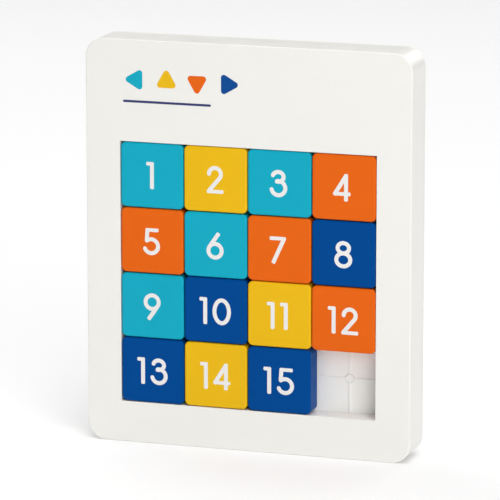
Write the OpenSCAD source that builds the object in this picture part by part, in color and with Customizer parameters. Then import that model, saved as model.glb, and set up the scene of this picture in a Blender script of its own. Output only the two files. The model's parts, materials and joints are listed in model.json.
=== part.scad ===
// Sliding tile puzzle with magnetic tiles.
// Drawn face up: x is the width, y the height and z comes out of the face.
// upright() then stands it on its bottom edge, with the face towards -Y.
// The origin is the middle of the bottom edge.

/* [Frame] */
// Width of the frame
body_w = 101.6; // [101:0.2:108]
// Height of the frame
body_h = 123.6; // [122:0.2:130]
// Thickness from the face to the back
body_t = 14.4; // [13:0.2:15]
// Radius of the frame's corners, seen from the front
corner_r = 5.8; // [5:0.2:9]
// Radius of the rounding along the front and back edges
edge_r = 0.4; // [0.3:0.1:1]
// Thickness of the face and the outer walls
wall = 2; // [1.8:0.1:2.2]
// Height of the border below the window
sill = 12.6; // [12:0.1:14]
// Thickness of the stiffening ribs behind the face
rib_t = 1; // [1:0.1:1.5]

/* [Tray] */
// Distance from one tile to the next
pitch = 20; // [19:0.5:20]
// Gap between two tiles
tile_gap = 0.25; // [0.2:0.05:0.4]
// Gap between the outer tiles and the tray wall
wall_gap = 0.2; // [0.15:0.05:0.4]
// Depth of the tray floor below the face
tray_depth = 7.2; // [6.8:0.1:7.6]
// Thickness of the tray's side walls
tray_wall = 1.5; // [1.2:0.1:1.6]
// Thickness of the tray floor
floor_t = 1.2; // [1:0.1:1.4]
// Width of the raised lines the tiles slide on
guide_w = 0.4; // [0.3:0.1:0.8]
// Height of the raised lines and of the round pips
guide_h = 0.3; // [0.1:0.05:0.4]
// Radius of the round pip in the middle of each cell
pip_r = 1.5; // [1:0.1:2]
// Thickness of the steel sheet behind the floor
steel_t = 0.8; // [0.5:0.1:1]

/* [Tiles] */
// Corner radius of a tile, seen from the front
tile_r = 1.6; // [1.2:0.05:2.5]
// Radius of the rounding round a tile's face
tile_edge_r = 0.6; // [0.3:0.1:0.8]
// Thickness of a tile's side walls
tile_wall = 1.4; // [1.2:0.1:1.8]
// Thickness of a tile's face
tile_face = 1.8; // [1.5:0.1:2.2]
// Radius of the disc magnet in a tile
magnet_r = 4; // [3:0.5:5]
// Thickness of the disc magnet
magnet_t = 2; // [1.5:0.5:2.5]
// Depth of the numerals set in a tile's face
numeral_depth = 0.6; // [0.3:0.1:0.8]

/* [Back] */
// Thickness of the back cover
cover_t = 1.6; // [1.5:0.1:1.8]
// Radius of a screw's shank
screw_r = 1; // [0.8:0.1:1.1]
// Length of a screw's shank
screw_l = 6; // [5:0.5:6.5]

/* [Hidden] */
columns = 4;
rows = 4;
tile_count = columns * rows - 1;
// How far a cutting tool reaches past the face it cuts, and how far joined shapes overlap
eps = 0.5;
overlap = 0.3;

// Levels through the thickness, from the back to the face
face_z = body_t / 2;
back_z = -body_t / 2;
ceiling_z = face_z - wall;
floor_z = face_z - tray_depth;
steel_z = floor_z - floor_t - steel_t;
cover_z = back_z + cover_t;
well_rise = 1.2;
boss_z = cover_z + well_rise;

// Window and tray
window = columns * pitch - tile_gap + 2 * wall_gap;
window_y = sill + window / 2;
tray_outer = window + 2 * tray_wall;
floor_inset = 0.5;
floor_w = tray_outer - 2 * floor_inset;
steel_fit = 0.25;
steel_w = window - 2 * steel_fit;
guide_inset = 0.2;
guide_rise = 0.5;
pip_slope = 0.3;

// Tiles, which clear the raised lines by a sliding gap
slide_gap = 0.02;
tile_w = pitch - tile_gap;
tile_z = floor_z + guide_h + slide_gap;
tile_base_edge = 0.2;
magnet_recess = 0.2;
magnet_fit = 0.05;
magnet_boss_r = magnet_r + 1.2;
tile_rib_t = 1;

// Screws and their bosses
boss_r = 2.6;
boss_inset = 6.6;
screw_head_r = 2;
screw_head_t = 1.3;
screw_head_edge = 0.4;
screw_clearance = 0.2;
well_r = 2.4;
well_boss_r = 3.4;
pilot_spare = 0.3;
pilot_l = screw_l - well_rise + pilot_spare;
pad_r = 2;
pad_pitch = 26;
rib_pitch = 12.2;
rib_count = 7;

// Numerals: height, half stroke widths and gap between two digits, all times numeral_scale
numeral_scale = 0.98;
digit_h = 8.6;
stroke = 0.63;
thin_stroke = 0.57;
digit_gap = 1.55;
numeral_drop = 0.2;
first_row_rise = 0.22;
stroke_corner = 0.35;
DIGIT_W = [6.1, 2.65, 5.6, 5.85, 5.75, 5.75, 5.7, 5.4, 5.85, 5.7];

// Printed mark above the window
print_depth = 0.15;
arrow_pitch = 9.6;
arrow_reach = 4.1;
arrow_corner = 0.9;
ARROW_TURNS = [180, 90, 270, 0];
print_x = 1 - columns * pitch / 2;
print_y = 18.8;
rule_y = 12.2;
rule_l = 27.7;
rule_half = 0.35;

WHITE = [0.95, 0.945, 0.925];
SLATE = [0.23, 0.25, 0.45];
CYAN = [0.106, 0.671, 0.776];
YELLOW = [0.945, 0.737, 0.11];
ORANGE = [0.918, 0.404, 0.102];
BLUE = [0.012, 0.29, 0.58];
TILE_COLOURS = [
    CYAN, YELLOW, CYAN, ORANGE,
    ORANGE, CYAN, ORANGE, BLUE,
    CYAN, BLUE, YELLOW, ORANGE,
    BLUE, YELLOW, BLUE
];

function two_digits(n) = n < 10 ? str("0", n) : str(n);
function tile_name(n) = str("tile_", two_digits(n));
function number_name(n) = str(tile_name(n), "_number");
function magnet_name(n) = str(tile_name(n), "_magnet");

// ---- Outlines ----

// Points along an arc of the ellipse with centre c and radii r, from angle a0 to a1
function arc(c, r, a0, a1, n) = [
    for (i = [0:n])
        let (a = a0 + (a1 - a0) * i / n)
        [c.x + r.x * cos(a), c.y + r.y * sin(a)]
];

// Rectangle centred on the origin with round corners
function rounded_rect(w, h, r, n) = concat(
    arc([w / 2 - r, h / 2 - r], [r, r], 0, 90, n),
    arc([r - w / 2, h / 2 - r], [r, r], 90, 180, n),
    arc([r - w / 2, r - h / 2], [r, r], 180, 270, n),
    arc([w / 2 - r, r - h / 2], [r, r], 270, 360, n)
);

// The ellipse with centre c and radii r, moved outwards by d
function offset_ellipse(c, r, d, n) = [
    for (i = [0:n - 1])
        let (a = 360 * i / n)
        let (normal = [r.y * cos(a), r.x * sin(a)])
        c + [r.x * cos(a), r.y * sin(a)] + d * normal / norm(normal)
];

function heading(a, b) = (b - a) / norm(b - a);
function left_of(v) = [-v.y, v.x];
function direction(v) = atan2(v.y, v.x);

// Corner i of the line that runs beside the path p, at distance d to its left
function beside(p, i, d) =
    let (before = left_of(heading(p[max(i - 1, 0)], p[max(i, 1)])))
    let (after = left_of(heading(p[min(i, len(p) - 2)], p[min(i + 1, len(p) - 1)])))
    let (sum = before + after)
    p[i] + 2 * d * sum / (sum * sum);

// Points inside the half circle round p, from direction a anticlockwise to the opposite side
function round_cap(p, r, a) = [
    for (i = [1:5])
        p + r * [cos(a + 30 * i), sin(a + 30 * i)]
];

// ---- Strokes of the numerals ----

// Straight stroke from p to q, half as wide as half, with slightly rounded corners
module bar(p, q, half = stroke) {
    translate((p + q) / 2)
    rotate(direction(q - p))
    polygon(rounded_rect(norm(q - p) + 2 * half, 2 * half, stroke_corner, 3));
}

// Stroke along the path p, with round ends
module path_stroke(p) {
    last = len(p) - 1;
    polygon(concat(
        [for (i = [0:last]) beside(p, i, -stroke)],
        round_cap(p[last], stroke, direction(heading(p[last - 1], p[last])) - 90),
        [for (i = [last:-1:0]) beside(p, i, stroke)],
        round_cap(p[0], stroke, direction(heading(p[0], p[1])) + 90)
    ));
}

// Closed ring stroke along an ellipse
module ring(c, r, n = 40) {
    difference() {
        polygon(offset_ellipse(c, r, stroke, n));
        polygon(offset_ellipse(c, r, -stroke, n));
    }
}

// ---- Digits, each standing on y = 0 with its left edge on x = 0 ----

module digit_0() {
    ring([3.05, 4.3], [2.33, 3.58]);
}

module digit_1() {
    bar([0.65, 7.95], [1.9, 7.95], thin_stroke);
    bar([1.93, 7.88], [1.93, 0.72]);
}

module digit_2() {
    bowl = [2.8, 5.98];
    bowl_r = 1.9;
    foot = [0.85, 0.75];
    leave = direction(foot - bowl) + acos(bowl_r / norm(foot - bowl));
    path_stroke(concat(arc(bowl, [bowl_r, bowl_r], 180, leave, 28), [foot]));
    bar([0.75, thin_stroke], [4.95, thin_stroke], thin_stroke);
}

module digit_3() {
    path_stroke(concat(arc([2.85, 6.38], [1.72, 1.5], 165, -90, 28), [[2.45, 4.88]]));
    path_stroke(concat([[2.55, 5.08]], arc([2.92, 2.9], [2.2, 2.18], 90, -168, 28)));
}

module digit_4() {
    bar([4.2, 7.88], [4.2, 0.72]);
    bar([4.1, 7.8], [0.78, 2.42]);
    bar([0.72, 2.35], [5.05, 2.35], thin_stroke);
}

module digit_5() {
    bar([1.7, 7.95], [4.7, 7.95], thin_stroke);
    bar([1.63, 7.85], [1.42, 4.9]);
    path_stroke(arc([2.85, 2.9], [2.2, 2.18], 130, -158, 28));
}

module digit_6() {
    bowl = [2.85, 2.85];
    bowl_r = 2.13;
    top = [3.75, 7.88];
    leave = direction(top - bowl) + acos(bowl_r / norm(top - bowl));
    ring(bowl, [bowl_r, bowl_r]);
    bar(top, bowl + bowl_r * [cos(leave), sin(leave)]);
}

module digit_7() {
    bar([0.65, 7.95], [4.72, 7.95], thin_stroke);
    bar([4.6, 7.8], [1.4, 0.74]);
}

module digit_8() {
    ring([2.92, 2.72], [2.2, 2]);
    ring([2.92, 6.31], [1.8, 1.57]);
}

module digit_9() {
    translate([DIGIT_W[6], digit_h])
    rotate(180)
    digit_6();
}

module digit(d) {
    if (d == 0) digit_0();
    if (d == 1) digit_1();
    if (d == 2) digit_2();
    if (d == 3) digit_3();
    if (d == 4) digit_4();
    if (d == 5) digit_5();
    if (d == 6) digit_6();
    if (d == 7) digit_7();
    if (d == 8) digit_8();
    if (d == 9) digit_9();
}

// Small sideways shifts that make the narrow and the open digits look centred
function optical_shift(n) = n == 1 || n == 11 ? -0.53 : n == 4 ? -0.63 : n == 7 ? -0.4 : n == 3 || n == 5 ? -0.25 : -0.07;

// Small upward shift of the numerals, which sit higher on the first row
function numeral_rise(n) = (n <= columns ? first_row_rise : 0) - numeral_drop;

// The numeral of tile n, centred on the tile
module numeral(n) {
    tens = floor(n / 10);
    units = n % 10;
    tens_w = tens > 0 ? DIGIT_W[tens] + digit_gap : 0;
    translate([optical_shift(n), numeral_rise(n)])
    scale(numeral_scale)
    translate([-(tens_w + DIGIT_W[units]) / 2, -digit_h / 2]) {
        if (tens > 0) digit(tens);
        translate([tens_w, 0])
        digit(units);
    }
}

// ---- Solids ----

module upright() {
    rotate([90, 0, 0])
    children();
}

// Block with rounded corners, and with its back and front edges rounded by the radii given
module soft_block(w, h, r, z0, z1, back_r, front_r, back_steps, front_steps, sides) {
    profile = concat(
        [[0, z0]],
        arc([r - back_r, z0 + back_r], [back_r, back_r], -90, 0, back_steps),
        arc([r - front_r, z1 - front_r], [front_r, front_r], 0, 90, front_steps),
        [[0, z1]]
    );
    hull()
    for (x = [r - w / 2, w / 2 - r], y = [r - h / 2, h / 2 - r])
        translate([x, y, 0])
        rotate_extrude($fn = sides)
        polygon(profile);
}

// Upright prism on an outline
module plate(points, z0, z1) {
    translate([0, 0, z0])
    linear_extrude(z1 - z0)
    polygon(points);
}

module at_screws() {
    for (x = [-1, 1], y = [boss_inset, body_h - boss_inset])
        translate([x * (body_w / 2 - boss_inset), y, 0])
        children();
}

// Cylinder from z0 to z1
module rod(r, z0, z1) {
    translate([0, 0, z0])
    cylinder(r = r, h = z1 - z0, $fn = 48);
}

// Block centred on x = 0, y = 0
module block(w, h, z0, z1) {
    translate([-w / 2, -h / 2, z0])
    cube([w, h, z1 - z0]);
}

// ---- Printed mark: four arrows for the four ways a tile slides, and a plain rule ----

function arrow_points(a) = [
    for (k = [0:2])
        for (p = arc((arrow_reach - 2 * arrow_corner) * [cos(a + 120 * k), sin(a + 120 * k)],
                     [arrow_corner, arrow_corner], a + 120 * k - 60, a + 120 * k + 60, 6))
            p
];

module print_outline(z0, z1) {
    translate([print_x, sill + window, 0]) {
        for (k = [0:len(ARROW_TURNS) - 1])
            translate([arrow_reach + k * arrow_pitch, print_y, 0])
            plate(arrow_points(ARROW_TURNS[k]), z0, z1);
        translate([rule_l / 2, rule_y, 0])
        plate(rounded_rect(rule_l, 2 * rule_half, rule_half, 4), z0, z1);
    }
}

module face_print() {
    color(SLATE)
    upright()
    print_outline(face_z - print_depth, face_z);
}

// ---- Frame ----

// The whole case, which the back cover's front face parts in two
module case_block() {
    translate([0, body_h / 2, 0])
    soft_block(body_w, body_h, corner_r, back_z, face_z, edge_r, edge_r, 4, 4, 48);
}

// Everything behind the parting face
module back_slab() {
    translate([0, body_h / 2, 0])
    block(body_w + 2 * eps, body_h + 2 * eps, back_z - eps, cover_z);
}

// The space behind the face, outside the tray's walls
module frame_hollow() {
    difference() {
        translate([0, body_h / 2, 0])
        plate(rounded_rect(body_w - 2 * wall, body_h - 2 * wall, corner_r - wall, 8), back_z - eps, ceiling_z);
        translate([0, window_y, 0])
        block(tray_outer, tray_outer, floor_z, face_z);
    }
}

// Ribs behind the tall top border, down to the back cover
module frame_ribs() {
    y0 = window_y + tray_outer / 2 - overlap;
    y1 = body_h - wall + overlap;
    for (k = [0:rib_count - 1])
        translate([(k - (rib_count - 1) / 2) * rib_pitch, (y0 + y1) / 2, 0])
        block(rib_t, y1 - y0, cover_z, ceiling_z + eps);
}

module front_frame() {
    color(WHITE)
    upright()
    difference() {
        union() {
            difference() {
                case_block();
                back_slab();
                frame_hollow();
            }
            frame_ribs();
            at_screws()
            rod(boss_r, boss_z, ceiling_z + eps);
        }
        translate([0, window_y, 0])
        block(window, window, back_z - eps, face_z + eps);
        at_screws()
        rod(screw_r, boss_z - eps, boss_z + pilot_l);
        print_outline(face_z - print_depth, face_z + eps);
    }
}

// Middle of column k and of row k, measured from the middle of the window
function column_x(k) = (k - (columns - 1) / 2) * pitch;
function row_y(k) = (k - (rows - 1) / 2) * pitch;

module tray_floor() {
    guide_l = window - 2 * guide_inset;
    guide_z = floor_z + guide_h;
    color(WHITE)
    upright()
    translate([0, window_y, 0]) {
        block(floor_w, floor_w, floor_z - floor_t, floor_z);
        for (i = [0:columns - 1])
            translate([column_x(i), 0, 0])
            block(guide_w, guide_l, floor_z - overlap, guide_z);
        for (j = [0:rows - 1])
            translate([0, row_y(j) + guide_rise, 0])
            block(guide_l, guide_w, floor_z - overlap, guide_z);
        for (i = [0:columns - 1], j = [0:rows - 1])
            translate([column_x(i), row_y(j) + guide_rise, floor_z])
            cylinder(r1 = pip_r, r2 = pip_r - pip_slope, h = guide_h, $fn = 32);
    }
}

module steel_plate() {
    color([0.62, 0.63, 0.65])
    upright()
    translate([0, window_y, 0])
    block(steel_w, steel_w, steel_z, steel_z + steel_t);
}

// ---- Back ----

module back_cover() {
    color(WHITE)
    upright()
    difference() {
        union() {
            intersection() {
                case_block();
                back_slab();
            }
            at_screws()
            rod(well_boss_r, cover_z - eps, boss_z);
            for (i = [-1:1], j = [-1:1])
                translate([i * pad_pitch, window_y + j * pad_pitch, 0])
                rod(pad_r, cover_z - eps, steel_z);
        }
        at_screws() {
            rod(well_r, back_z - eps, cover_z);
            rod(screw_r + screw_clearance, back_z, boss_z + eps);
        }
    }
}

module cover_screw() {
    slot_w = 0.5;
    slot_l = 2.4;
    slot_d = 0.6;
    head_z = cover_z - screw_head_t;
    difference() {
        union() {
            translate([0, 0, head_z])
            cylinder(r1 = screw_head_r - screw_head_edge, r2 = screw_head_r, h = screw_head_edge, $fn = 48);
            rod(screw_head_r, head_z + screw_head_edge, cover_z);
            rod(screw_r, cover_z - overlap, cover_z + screw_l);
        }
        block(slot_w, slot_l, head_z - eps, head_z + slot_d);
        block(slot_l, slot_w, head_z - eps, head_z + slot_d);
    }
}

module cover_screws() {
    color("silver")
    upright()
    at_screws()
    cover_screw();
}

// ---- Tiles ----

module at_tile(n) {
    column = (n - 1) % columns;
    row = floor((n - 1) / columns);
    upright()
    translate([column_x(column), window_y + row_y(rows - 1 - row), 0])
    children();
}

// The space under a tile's face, round the magnet's boss and its ribs
module tile_hollow() {
    inner = tile_w - 2 * tile_wall;
    difference() {
        block(inner, inner, tile_z - eps, face_z - tile_face);
        rod(magnet_boss_r, tile_z - 2 * eps, face_z);
        block(tile_rib_t, tile_w, tile_z - 2 * eps, face_z);
        block(tile_w, tile_rib_t, tile_z - 2 * eps, face_z);
    }
}

module tile(n) {
    color(TILE_COLOURS[n - 1])
    at_tile(n)
    difference() {
        soft_block(tile_w, tile_w, tile_r, tile_z, face_z, tile_base_edge, tile_edge_r, 1, 3, 32);
        tile_hollow();
        rod(magnet_r + magnet_fit, tile_z - eps, tile_z + magnet_recess + magnet_t);
        translate([0, 0, face_z - numeral_depth])
        linear_extrude(numeral_depth + eps)
        numeral(n);
    }
}

module tile_number(n) {
    color("white")
    at_tile(n)
    translate([0, 0, face_z - numeral_depth])
    linear_extrude(numeral_depth)
    numeral(n);
}

module tile_magnet(n) {
    color([0.7, 0.71, 0.73])
    at_tile(n)
    rod(magnet_r, tile_z + magnet_recess, tile_z + magnet_recess + magnet_t);
}

front_frame();
tray_floor();
steel_plate();
back_cover();
cover_screws();
face_print();
for (n = [1:tile_count]) {
    tile(n);
    tile_number(n);
    tile_magnet(n);
}
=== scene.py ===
"""Sliding tile puzzle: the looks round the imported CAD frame."""

import json
import math

import bmesh
import bpy
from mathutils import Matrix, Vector


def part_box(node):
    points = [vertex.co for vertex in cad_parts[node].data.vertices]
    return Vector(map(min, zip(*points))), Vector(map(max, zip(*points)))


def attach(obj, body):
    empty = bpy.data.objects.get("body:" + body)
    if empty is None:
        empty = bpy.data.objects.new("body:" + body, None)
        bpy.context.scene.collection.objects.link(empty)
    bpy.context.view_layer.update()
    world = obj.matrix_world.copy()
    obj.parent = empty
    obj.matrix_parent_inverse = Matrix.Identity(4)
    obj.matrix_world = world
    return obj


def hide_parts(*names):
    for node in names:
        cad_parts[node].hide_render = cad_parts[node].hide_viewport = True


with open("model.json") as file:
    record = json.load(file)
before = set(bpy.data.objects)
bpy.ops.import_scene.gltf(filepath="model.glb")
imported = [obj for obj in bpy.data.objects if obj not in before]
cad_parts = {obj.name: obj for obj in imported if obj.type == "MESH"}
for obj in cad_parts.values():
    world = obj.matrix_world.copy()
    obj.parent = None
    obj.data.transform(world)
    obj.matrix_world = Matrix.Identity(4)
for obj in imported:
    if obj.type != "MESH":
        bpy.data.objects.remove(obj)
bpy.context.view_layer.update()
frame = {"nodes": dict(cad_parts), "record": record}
scene = bpy.context.scene

MM = 0.001
TILE_COUNT = 15

# ---- Where things are, from the frame ----

FACE_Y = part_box("front_frame")[0].y
PARTING_Y, BACK_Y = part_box("front_frame")[1].y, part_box("back_cover")[1].y
TRAY_FRONT_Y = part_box("tray_floor")[0].y
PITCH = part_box("tile_02")[0].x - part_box("tile_01")[0].x

# ---- Colours, linear ----

WARM_WHITE = (0.862, 0.852, 0.813)
TRAY_WHITE = (0.92, 0.92, 0.89)
NUMERAL_WHITE = (0.815, 0.805, 0.79)
CYAN = (0.0045, 0.388, 0.533)
YELLOW = (0.818, 0.478, 0.007)
ORANGE = (0.778, 0.1256, 0.004)
BLUE = (0.0002, 0.0633, 0.2767)
SLATE = (0.045, 0.05, 0.16)
STEEL_GREY = (0.56, 0.57, 0.58)
NICKEL = (0.66, 0.65, 0.62)
FLOOR_WHITE = (0.80, 0.80, 0.80)
FLOOR_GLOW = 0.165

TILE_COLOURS = {"tile_cyan": CYAN, "tile_yellow": YELLOW, "tile_orange": ORANGE, "tile_blue": BLUE}
INK_COLOURS = {"cyan": CYAN, "yellow": YELLOW, "orange": ORANGE, "blue": BLUE, "slate": SLATE}
ARROW_INKS = ("cyan", "yellow", "orange", "blue")


# ---- Materials ----

class Nodes:
    """Short calls for building one material's node tree."""

    def __init__(self, name):
        self.material = bpy.data.materials.new(name)
        self.material.use_nodes = True
        self.tree = self.material.node_tree
        self.shader = self.tree.nodes["Principled BSDF"]
        self.place = self.tree.nodes.new("ShaderNodeTexCoord").outputs["Object"]

    def link(self, output, socket):
        self.tree.links.new(output, socket)

    def noise(self, scale, detail=2.0, roughness=0.5, stretch=None):
        """Noise from 0 to 1 with about scale blobs to the metre."""
        node = self.tree.nodes.new("ShaderNodeTexNoise")
        node.inputs["Scale"].default_value = scale
        node.inputs["Detail"].default_value = detail
        node.inputs["Roughness"].default_value = roughness
        place = self.place
        if stretch:
            mapping = self.tree.nodes.new("ShaderNodeMapping")
            mapping.inputs["Scale"].default_value = stretch
            self.link(place, mapping.inputs["Vector"])
            place = mapping.outputs["Vector"]
        self.link(place, node.inputs["Vector"])
        return node.outputs["Fac"]

    def spread(self, value, low, high, start=0.3, end=0.7):
        """value, taken from start..end to low..high."""
        node = self.tree.nodes.new("ShaderNodeMapRange")
        node.inputs["From Min"].default_value = start
        node.inputs["From Max"].default_value = end
        node.inputs["To Min"].default_value = low
        node.inputs["To Max"].default_value = high
        self.link(value, node.inputs["Value"])
        return node.outputs["Result"]

    def add(self, a, b):
        node = self.tree.nodes.new("ShaderNodeMath")
        node.operation = "ADD"
        self.link(a, node.inputs[0])
        self.link(b, node.inputs[1])
        return node.outputs["Value"]

    def shades(self, value, dark, light):
        """A colour between dark and light."""
        node = self.tree.nodes.new("ShaderNodeMix")
        node.data_type = "RGBA"
        node.inputs["A"].default_value = (*dark, 1)
        node.inputs["B"].default_value = (*light, 1)
        self.link(value, node.inputs["Factor"])
        return node.outputs["Result"]

    def bump(self, height, distance, strength=1.0, under=None):
        node = self.tree.nodes.new("ShaderNodeBump")
        node.inputs["Strength"].default_value = strength
        node.inputs["Distance"].default_value = distance
        self.link(height, node.inputs["Height"])
        if under:
            self.link(under, node.inputs["Normal"])
        return node.outputs["Normal"]


def tint(colour, factor):
    return tuple(min(1.0, c * factor) for c in colour)


def moulded_plastic(name, colour, roughness, grain, specular=0.5, variation=0.03):
    """Injection-moulded plastic: faint flow clouds, a fine grain and slightly uneven gloss."""
    n = Nodes(name)
    s = n.shader.inputs
    clouds = n.noise(45, detail=3, roughness=0.55)
    darker, lighter = tint(colour, 1 - variation), tint(colour, 1 + variation)
    n.link(n.shades(n.spread(clouds, 0, 1), darker, lighter), s["Base Color"])
    smudges = n.spread(n.noise(130, detail=5, roughness=0.6), -0.05, 0.05)
    flecks = n.spread(n.noise(2600, detail=2), roughness - 0.03, roughness + 0.03)
    n.link(n.add(smudges, flecks), s["Roughness"])
    waves = n.bump(n.noise(70, detail=1), 0.02 * MM, 0.6)
    pores = n.noise(5200, detail=3, roughness=0.6)
    n.link(n.bump(pores, grain * MM, 0.5, under=waves), s["Normal"])
    s["IOR"].default_value = 1.52
    s["Specular IOR Level"].default_value = specular
    return n.material


def plated_metal(name, colour, roughness, brushed):
    """Plated steel with fine lines from rolling or turning."""
    n = Nodes(name)
    s = n.shader.inputs
    lines = n.noise(900, detail=4, roughness=0.65, stretch=(0.06, 1, 1) if brushed else None)
    n.link(n.shades(n.spread(lines, 0, 1), tint(colour, 0.88), tint(colour, 1.08)), s["Base Color"])
    n.link(n.spread(lines, roughness - 0.06, roughness + 0.1), s["Roughness"])
    n.link(n.bump(lines, 0.01 * MM, 0.5), s["Normal"])
    s["Metallic"].default_value = 1.0
    return n.material


def printed_ink(name, colour):
    """Pad-printed ink: a thin, slightly uneven film."""
    n = Nodes(name)
    s = n.shader.inputs
    film = n.noise(1500, detail=4, roughness=0.6)
    n.link(n.shades(n.spread(film, 0, 1), tint(colour, 0.95), tint(colour, 1.05)), s["Base Color"])
    n.link(n.spread(film, 0.4, 0.5), s["Roughness"])
    n.link(n.bump(film, 0.006 * MM, 0.5), s["Normal"])
    s["Specular IOR Level"].default_value = 0.15
    return n.material


def make_materials():
    made = {
        "frame_white": moulded_plastic("frame_white", WARM_WHITE, 0.36, 0.006, variation=0.008),
        "tray_white": moulded_plastic("tray_white", TRAY_WHITE, 0.42, 0.006, variation=0.01),
        "tray_pip": moulded_plastic("tray_pip", tint(TRAY_WHITE, 0.84), 0.5, 0.02, variation=0.01),
        "cover_white": moulded_plastic("cover_white", WARM_WHITE, 0.55, 0.03, variation=0.01),
        "numeral_white": moulded_plastic("numeral_white", NUMERAL_WHITE, 0.4, 0.004, 0.2, 0.01),
        "sheet_steel": plated_metal("sheet_steel", STEEL_GREY, 0.32, brushed=True),
        "screw_steel": plated_metal("screw_steel", STEEL_GREY, 0.28, brushed=False),
        "magnet_nickel": plated_metal("magnet_nickel", NICKEL, 0.16, brushed=False),
    }
    for name, colour in TILE_COLOURS.items():
        specular = 0.03 if colour == BLUE else 0.1
        made[name] = moulded_plastic(name, colour, 0.34, 0.005, specular, variation=0.02)
    for name, colour in INK_COLOURS.items():
        made["ink_" + name] = printed_ink("ink_" + name, colour)
    return made


materials = make_materials()
slots = {part["node"]: part["material_slot"] for part in frame["record"]["subparts"]}


# ---- Meshes ----

SHARP = math.radians(38)
FLAT = math.radians(0.3)
EDGE_RADIUS = 0.08 * MM
EDGE_SEGMENTS = 2
WELD_DISTANCE = 0.001 * MM
PLANE_TOLERANCE = 0.01 * MM
PIP_RADIUS = 1.55 * MM
PIP_RISE = 0.5 * MM
PIP_HEIGHT = 0.29 * MM
ARROW_DROP = 2 * MM


def shade(obj):
    """Smooth shading, kept flat on the large faces and sharp at the hard edges."""
    for polygon in obj.data.polygons:
        polygon.use_smooth = True
    obj.data.set_sharp_from_angle(angle=SHARP)
    weighted = obj.modifiers.new("weighted_normals", "WEIGHTED_NORMAL")
    weighted.keep_sharp = True


def dress(node, material=None):
    """Gives a CAD node its finished material and shading."""
    obj = frame["nodes"][node]
    obj.data.materials.clear()
    obj.data.materials.append(material or materials[slots[node]])
    shade(obj)
    return obj


def is_hard(edge):
    return len(edge.link_faces) == 2 and edge.calc_face_angle(0) > SHARP


def on_plane(edge, y):
    return all(abs(v.co.y - y) < PLANE_TOLERANCE for v in edge.verts)


def softened(node, name, body, *planes):
    """Replaces a CAD node by a copy with small radii on its hard edges in these Y planes."""
    mesh = frame["nodes"][node].data.copy()
    mesh.name = name
    bm = bmesh.new()
    bm.from_mesh(mesh)
    bmesh.ops.remove_doubles(bm, verts=bm.verts, dist=WELD_DISTANCE)
    bmesh.ops.dissolve_limit(bm, angle_limit=FLAT, verts=bm.verts, edges=bm.edges)
    edges = [e for e in bm.edges if is_hard(e) and any(on_plane(e, y) for y in planes)]
    bmesh.ops.bevel(bm, geom=edges, offset=EDGE_RADIUS, offset_type="OFFSET",
                    segments=EDGE_SEGMENTS, profile=0.5, affect="EDGES", clamp_overlap=True)
    bm.to_mesh(mesh)
    bm.free()
    obj = bpy.data.objects.new(name, mesh)
    scene.collection.objects.link(obj)
    mesh.materials.clear()
    mesh.materials.append(materials[slots[node]])
    shade(obj)
    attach(obj, body)
    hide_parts(node)
    return obj


def on_a_pip(point):
    """Whether a point of the tray floor lies on the round pip in the middle of a cell."""
    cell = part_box("tile_15")
    across = (point.x - (cell[0].x + cell[1].x) / 2 + PITCH / 2) % PITCH - PITCH / 2
    up = (point.z - PIP_RISE - (cell[0].z + cell[1].z) / 2 + PITCH / 2) % PITCH - PITCH / 2
    return math.hypot(across, up) < PIP_RADIUS and point.y < TRAY_FRONT_Y + PIP_HEIGHT


def build_frame():
    softened("front_frame", "frame_moulding", "frame", FACE_Y, PARTING_Y)
    softened("back_cover", "back_cover_moulding", "frame", BACK_Y, PARTING_Y)
    tray = softened("tray_floor", "tray_floor_moulding", "frame", TRAY_FRONT_Y)
    tray.data.materials.append(materials["tray_pip"])
    for polygon in tray.data.polygons:
        if on_a_pip(polygon.center):
            polygon.material_index = 1
    dress("steel_plate")
    dress("cover_screws")


def build_print():
    """The printed arrows take the four tile colours in turn, and the rule is slate."""
    obj = dress("face_print", materials["ink_slate"])
    for name in ARROW_INKS:
        obj.data.materials.append(materials["ink_" + name])
    low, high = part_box("face_print")
    arrow_width = (high.x - low.x) / len(ARROW_INKS)
    arrow_low = (low.z + high.z) / 2 - ARROW_DROP
    for polygon in obj.data.polygons:
        if polygon.center.z > arrow_low:
            arrow = int((polygon.center.x - low.x) / arrow_width)
            polygon.material_index = 1 + min(len(ARROW_INKS) - 1, arrow)


def build_tiles():
    for n in range(1, TILE_COUNT + 1):
        tile = f"tile_{n:02d}"
        dress(tile)
        dress(tile + "_number")
        dress(tile + "_magnet")


# ---- Stage, camera and light ----

# The aim keeps its distance from the face, whatever the thickness of the frame
AIM = Vector((-0.00105, FACE_Y + 6 * MM, 0.06065))
CAMERA_DISTANCE = 1.2517
CAMERA_AZIMUTH = math.radians(18.04)
CAMERA_ELEVATION = math.radians(12.02)
CAMERA_LENS = 300.96
SENSOR_WIDTH = 36
CLIP_END = 20
FLOOR_HALF = 5.0
WORLD_STRENGTH = 0.03
LIGHT_DISTANCE = 1.6

# Name, azimuth and elevation in degrees, diameter in metres, power in watts
LIGHTS = (
    ("overhead", 30, 72, 1.2, 14.2),
    ("key", 35, 35, 1.0, 5.5),
    ("low_key", 40, 10, 1.2, 11.0),
    ("back", 160, 60, 1.2, 5.2),
    ("back_left", -130, 45, 1.2, 6.5),
    ("left", -100, 35, 1.2, 5),
    ("rim", 166, 18, 0.7, 3.0),
)


def direction(azimuth, elevation):
    """Unit vector from the object towards a viewer: azimuth 0 is -Y, and it turns towards +X."""
    flat = math.cos(elevation)
    return Vector((math.sin(azimuth) * flat, -math.cos(azimuth) * flat, math.sin(elevation)))


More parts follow.
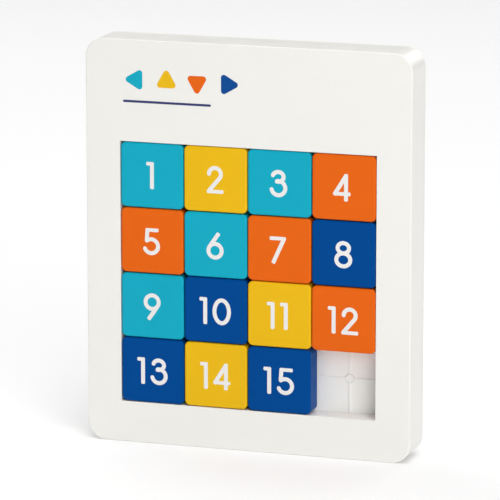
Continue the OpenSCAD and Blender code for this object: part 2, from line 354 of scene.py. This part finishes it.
def point_at(obj, target):
    obj.rotation_euler = (target - obj.location).to_track_quat("-Z", "Y").to_euler()


def add_camera():
    data = bpy.data.cameras.new("camera")
    data.sensor_width = SENSOR_WIDTH
    data.lens = CAMERA_LENS
    data.clip_end = CLIP_END
    camera = bpy.data.objects.new("camera", data)
    scene.collection.objects.link(camera)
    camera.location = AIM + CAMERA_DISTANCE * direction(CAMERA_AZIMUTH, CAMERA_ELEVATION)
    point_at(camera, AIM)
    scene.camera = camera


def add_floor():
    half = FLOOR_HALF
    corners = [(-half, -half, 0), (half, -half, 0), (half, half, 0), (-half, half, 0)]
    mesh = bpy.data.meshes.new("floor")
    mesh.from_pydata(corners, [], [(0, 1, 2, 3)])
    floor = bpy.data.objects.new("floor", mesh)
    scene.collection.objects.link(floor)
    n = Nodes("floor_white")
    clouds = n.spread(n.noise(3, detail=2), 0, 1)
    n.link(n.shades(clouds, tint(FLOOR_WHITE, 0.995), tint(FLOOR_WHITE, 1.005)),
           n.shader.inputs["Base Color"])
    n.shader.inputs["Roughness"].default_value = 0.9
    n.shader.inputs["Specular IOR Level"].default_value = 0.1
    n.shader.inputs["Emission Color"].default_value = (1, 1, 1, 1)
    n.shader.inputs["Emission Strength"].default_value = FLOOR_GLOW
    mesh.materials.append(n.material)


def add_area(name, azimuth, elevation, size, power):
    data = bpy.data.lights.new(name, "AREA")
    data.shape = "DISK"
    data.size = size
    data.energy = power
    light = bpy.data.objects.new(name, data)
    scene.collection.objects.link(light)
    light.location = AIM + LIGHT_DISTANCE * direction(math.radians(azimuth),
                                                      math.radians(elevation))
    point_at(light, AIM)


def add_light():
    world = bpy.data.worlds.new("studio")
    scene.world = world
    world.use_nodes = True
    background = world.node_tree.nodes["Background"]
    background.inputs["Color"].default_value = (1, 1, 1, 1)
    background.inputs["Strength"].default_value = WORLD_STRENGTH
    for light in LIGHTS:
        add_area(*light)
    scene.view_settings.view_transform = "Standard"


add_camera()
add_floor()
add_light()
build_frame()
build_print()
build_tiles()
